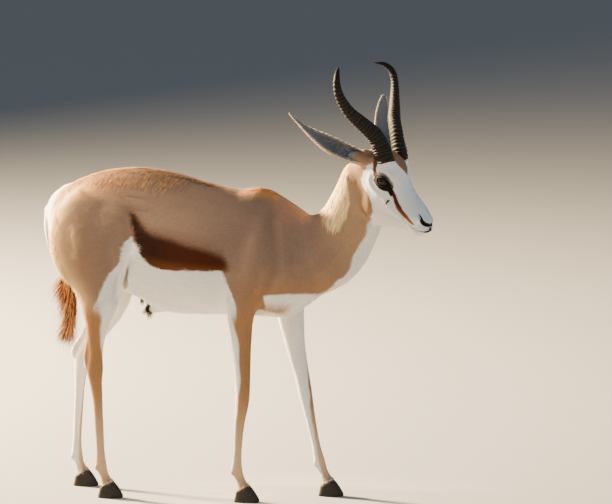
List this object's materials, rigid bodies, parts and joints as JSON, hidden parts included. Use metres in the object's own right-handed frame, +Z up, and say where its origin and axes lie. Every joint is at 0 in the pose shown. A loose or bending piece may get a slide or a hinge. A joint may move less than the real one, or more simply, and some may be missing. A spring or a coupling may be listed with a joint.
{
  "type": "springbok",
  "caption": "Springbok ram standing on its own hooves with its head turned to its right, with ringed hooked horns, cupped ears and a tufted tail, as a still life-size model.",
  "frame": {"origin": "on the floor under the middle of the whole model's box", "axes": "+X the way the ram stands, from tail to chest; +Y its left side; +Z up"},
  "size_m": [0.988, 0.3438, 1.0689],
  "materials": {
    "coat": "short fawn fur, with white and dark brown parts",
    "pale_coat": "short white fur",
    "ear": "thin skin with very short fur",
    "tuft": "long dark red-brown hair",
    "horn": "dark ringed horn, smoother at the tips",
    "hoof": "dark hard claw",
    "eye": "wet dark glass"
  },
  "bodies": {
    "root": {"ear_left": "ear", "ear_right": "ear", "eye_left": "eye", "eye_right": "eye", "forehoof_left_inner_claw": "hoof", "forehoof_left_outer_claw": "hoof", "forehoof_right_inner_claw": "hoof", "forehoof_right_outer_claw": "hoof", "foreleg_left_cannon": "coat", "foreleg_left_upper": "coat", "foreleg_right_cannon": "coat", "foreleg_right_upper": "coat", "head": "coat", "hindhoof_left_inner_claw": "hoof", "hindhoof_left_outer_claw": "hoof", "hindhoof_right_inner_claw": "hoof", "hindhoof_right_outer_claw": "hoof", "hindleg_left_cannon": "coat", "hindleg_left_upper": "coat", "hindleg_right_cannon": "coat", "hindleg_right_upper": "coat", "horn_left": "horn", "horn_right": "horn", "neck": "coat", "tail": "pale_coat", "tail_tuft": "tuft", "torso": "coat"}
  },
  "joints": []
}
